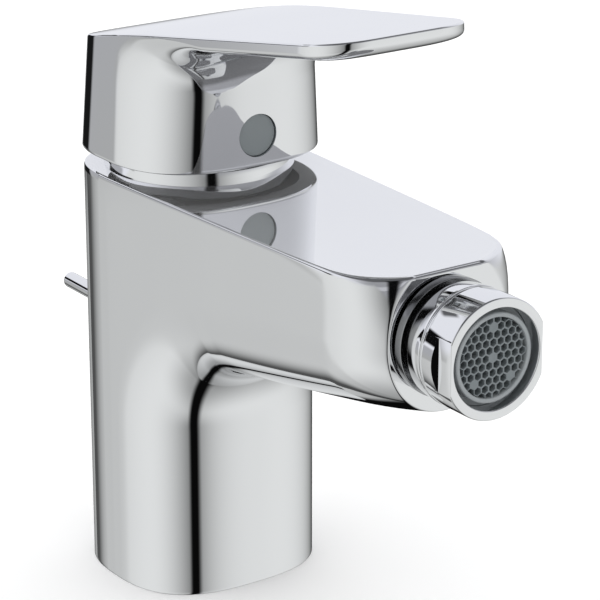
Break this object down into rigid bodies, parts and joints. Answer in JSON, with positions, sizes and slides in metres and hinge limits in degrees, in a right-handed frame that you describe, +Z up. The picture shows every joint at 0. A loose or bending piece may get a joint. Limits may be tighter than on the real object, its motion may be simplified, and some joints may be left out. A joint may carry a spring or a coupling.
{
  "type": "bidet mixer tap",
  "caption": "Chrome single-lever bidet mixer with a flat-decked short spout, a swivelling honeycomb aerator and a rear pop-up rod.",
  "frame": {"origin": "centre of the column's foot on the bidet's top, on the axis of the tap hole", "axes": "+Z up along the column, -Y along the spout towards the user, +X to the user's left when facing the mixer from the front"},
  "size_m": [0.0522, 0.1745, 0.1466],
  "materials": {
    "chrome": "polished chrome plate",
    "grey_plastic": "satin mid-grey",
    "steel": "plain steel",
    "brass": "machined brass",
    "white_plastic": "moulded white",
    "disc_ceramic": "lapped ceramic",
    "rubber": "black rubber"
  },
  "bodies": {
    "body": {"body_casting": "chrome", "trim_ring": "chrome", "cartridge_nut": "brass", "cartridge_housing": "white_plastic", "cartridge_o_ring": "rubber", "cartridge_base": "white_plastic", "port_seals": "rubber", "fixed_disc": "disc_ceramic", "ball_nipple": "chrome", "nipple_seal": "rubber", "rod_bush": "white_plastic", "base_gasket": "rubber"},
    "turret": {"cartridge_rotor": "white_plastic", "stem_pin": "steel"},
    "lever": {"lever_handle": "chrome", "index_plug": "grey_plastic", "lever_grub_screw": "steel", "lever_stem": "steel"},
    "disc": {"moving_disc": "disc_ceramic", "disc_carrier": "white_plastic"},
    "liner": {"ball_liner": "rubber"},
    "swivel": {"swivel_housing": "chrome", "swivel_retainer": "chrome", "aerator_gasket": "rubber", "aerator_insert": "grey_plastic", "aerator_screen": "grey_plastic"},
    "rod": {"pop_up_rod": "chrome"}
  },
  "joints": [
    {"name": "lever_turn", "type": "hinge", "parent": "body", "child": "turret", "pos_m": [0, 0, 0.084], "axis": [0, 0, 1], "range_deg": [-45, 45]},
    {"name": "lever_lift", "type": "hinge", "parent": "turret", "child": "lever", "pos_m": [0, 0, 0.084], "axis": [-1, 0, 0], "range_deg": [0, 18]},
    {"name": "disc_slide", "type": "slide", "parent": "turret", "child": "disc", "axis": [0, -1, 0], "range_m": [0, 0.0031]},
    {"name": "aerator_pan", "type": "hinge", "parent": "body", "child": "liner", "pos_m": [0, -0.104, 0.0851], "axis": [0, 0, 1], "range_deg": [-5, 5]},
    {"name": "aerator_tilt", "type": "hinge", "parent": "liner", "child": "swivel", "pos_m": [0, -0.104, 0.0851], "axis": [1, 0, 0], "range_deg": [-5, 5]},
    {"name": "rod_slide", "type": "slide", "parent": "body", "child": "rod", "axis": [0, 0, 1], "range_m": [-0.022, 0]}
  ],
  "couplings": [
    {"joint": "disc_slide", "follows": "lever_lift", "m_per_rad": 0.009541}
  ]
}
